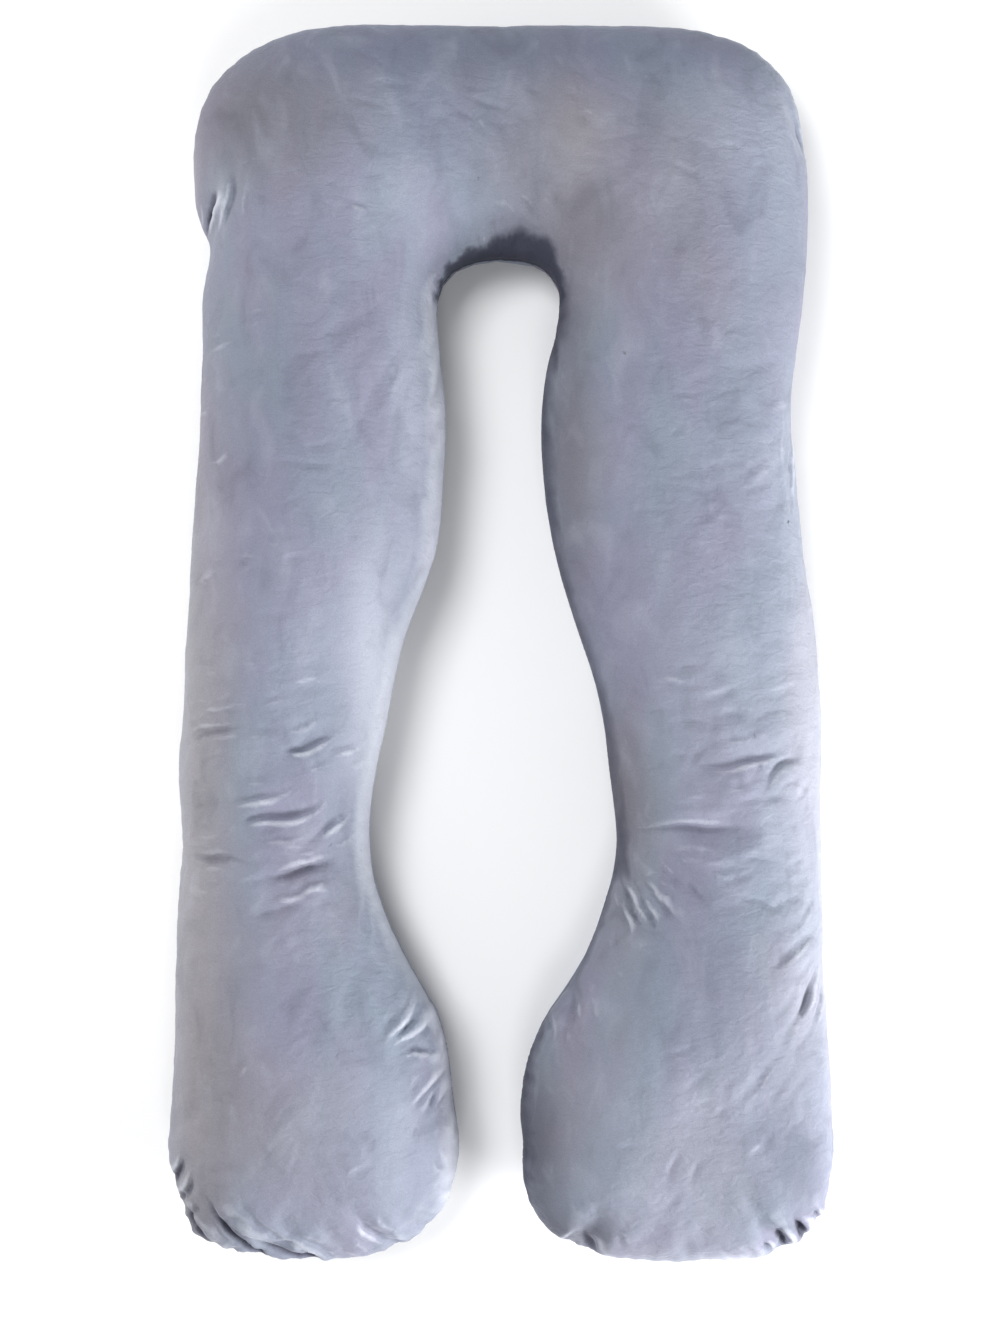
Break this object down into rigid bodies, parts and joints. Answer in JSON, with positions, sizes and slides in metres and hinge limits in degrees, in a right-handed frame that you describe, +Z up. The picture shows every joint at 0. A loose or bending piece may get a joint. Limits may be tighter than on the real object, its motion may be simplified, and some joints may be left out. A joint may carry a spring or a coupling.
{
  "type": "pregnancy pillow",
  "caption": "U-shaped full-body pillow in velvet: a filled cushion with a broad head, an arch, long legs and wide rounded feet, lying flat.",
  "frame": {"origin": "middle of the pillow's plan, on the surface that it lies on", "axes": "+Y along the pillow towards its head, +X across it to the right as seen from above, +Z up, through its thickness"},
  "size_m": [0.78, 1.45, 0.189],
  "materials": {
    "velvet_cover": "grey-blue short-pile velvet with a soft sheen"
  },
  "bodies": {
    "root": {"pillow": "velvet_cover"}
  },
  "joints": []
}
